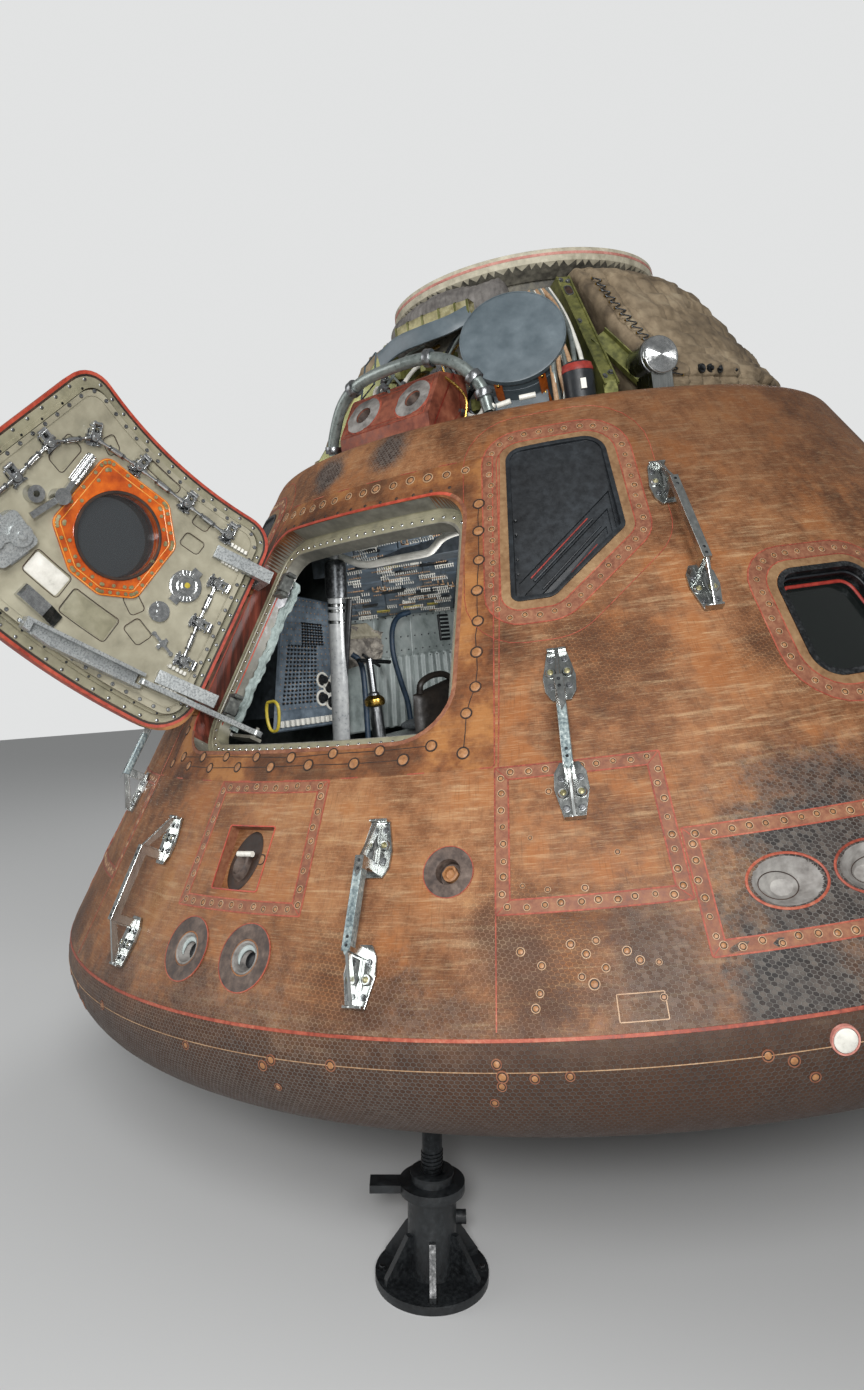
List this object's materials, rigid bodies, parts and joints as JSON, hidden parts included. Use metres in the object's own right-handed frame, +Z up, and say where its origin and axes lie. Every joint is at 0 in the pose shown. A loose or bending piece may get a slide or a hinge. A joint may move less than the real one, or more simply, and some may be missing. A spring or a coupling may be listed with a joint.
{
  "type": "space capsule",
  "caption": "Conical three-seat space capsule after splashdown, leaning on black screw jacks, its side hatch swung open and its parachute bay bare.",
  "frame": {"origin": "on the floor, under the middle of the whole footprint with the hatch open", "axes": "+Z up, the hatchway faces -Y, +X to the right of someone facing the hatchway; the capsule's own axis leans 7.72 degrees towards -X -Y"},
  "size_m": [3.8944, 4.2672, 3.0299],
  "materials": {
    "ablator": "weathered",
    "charred_ablator": "charred",
    "cabin_alloy": "painted grey-green",
    "console": "matt grey",
    "locker": "matt pale",
    "strut_steel": "satin",
    "couch_cloth": "woven",
    "ring_paint": "chalky",
    "gusset_paint": "primer",
    "pack_cloth": "quilted",
    "bag_cloth": "quilted",
    "mortar_alloy": "matt grey",
    "pilot_alloy": "turned",
    "rail_alloy": "scuffed bright",
    "window_black": "matt black",
    "window_frame": "dark",
    "window_glass": "clear",
    "hatch_cream": "satin cream",
    "ring_orange": "gloss orange",
    "hatch_steel": "satin",
    "latch_chrome": "polished",
    "jack_black": "black paint",
    "jack_thread": "oiled"
  },
  "bodies": {
    "capsule": {"access_panel_left": "ablator", "access_panel_right": "ablator", "aft_heat_shield": "charred_ablator", "cabin_floor": "cabin_alloy", "cabin_shell": "cabin_alloy", "chute_pack_left": "pack_cloth", "chute_pack_rear": "pack_cloth", "chute_pack_right": "pack_cloth", "couch": "couch_cloth", "crew_heat_shield": "ablator", "docking_tunnel": "cabin_alloy", "drogue_mortar": "mortar_alloy", "forward_deck": "cabin_alloy", "gusset_front_left": "gusset_paint", "gusset_front_right": "gusset_paint", "gusset_rear_left": "gusset_paint", "gusset_rear_right": "gusset_paint", "handrail_front_left": "rail_alloy", "handrail_front_right": "rail_alloy", "handrail_low_left": "rail_alloy", "handrail_low_right": "rail_alloy", "handrail_side_left": "rail_alloy", "handrail_side_right": "rail_alloy", "hatch_frame": "ablator", "jack_base_front": "jack_black", "jack_base_left": "jack_black", "jack_base_right": "jack_black", "jack_screw_front": "jack_thread", "jack_screw_left": "jack_thread", "jack_screw_right": "jack_thread", "left_console": "console", "main_console": "console", "pilot_mortar": "pilot_alloy", "pitch_housing": "ablator", "rear_lockers": "locker", "right_lockers": "locker", "roll_panel_left": "charred_ablator", "roll_panel_right": "charred_ablator", "side_window_frame_left": "window_frame", "side_window_frame_right": "window_frame", "side_window_pane_left": "window_glass", "side_window_pane_right": "window_glass", "strut_post": "strut_steel", "tunnel_ring": "ring_paint", "uprighting_bag": "bag_cloth", "vent_panel": "ablator", "window_hood_left": "window_black", "window_hood_right": "window_black"},
    "hatch": {"hinge_arm_upper": "hatch_steel", "hinge_arm_lower": "hatch_steel", "hatch_skin": "ablator", "hatch_plate": "hatch_cream", "hatch_window_ring": "ring_orange", "hatch_pane": "window_glass", "hatch_gearbox": "hatch_steel", "stay_channel": "hatch_steel", "latches": "latch_chrome", "latch_links": "latch_chrome", "hatch_fittings": "latch_chrome"},
    "stay": {"stay_link": "hatch_steel"}
  },
  "joints": [
    {"name": "hatch_hinge", "type": "hinge", "parent": "capsule", "child": "hatch", "pos_m": [-0.55042, -1.21185, 1.62744], "axis": [-0.0964, -0.4335, -0.896], "range_deg": [-98.2, 8]},
    {"name": "stay_turn", "type": "hinge", "parent": "capsule", "child": "stay", "pos_m": [-0.38012, -1.23315, 1.35045], "axis": [-0.0964, -0.4335, -0.896], "range_deg": [-105.2, 9]}
  ],
  "couplings": [
    {"joint": "stay_turn", "follows": "hatch_hinge", "ratio": 1.068}
  ]
}
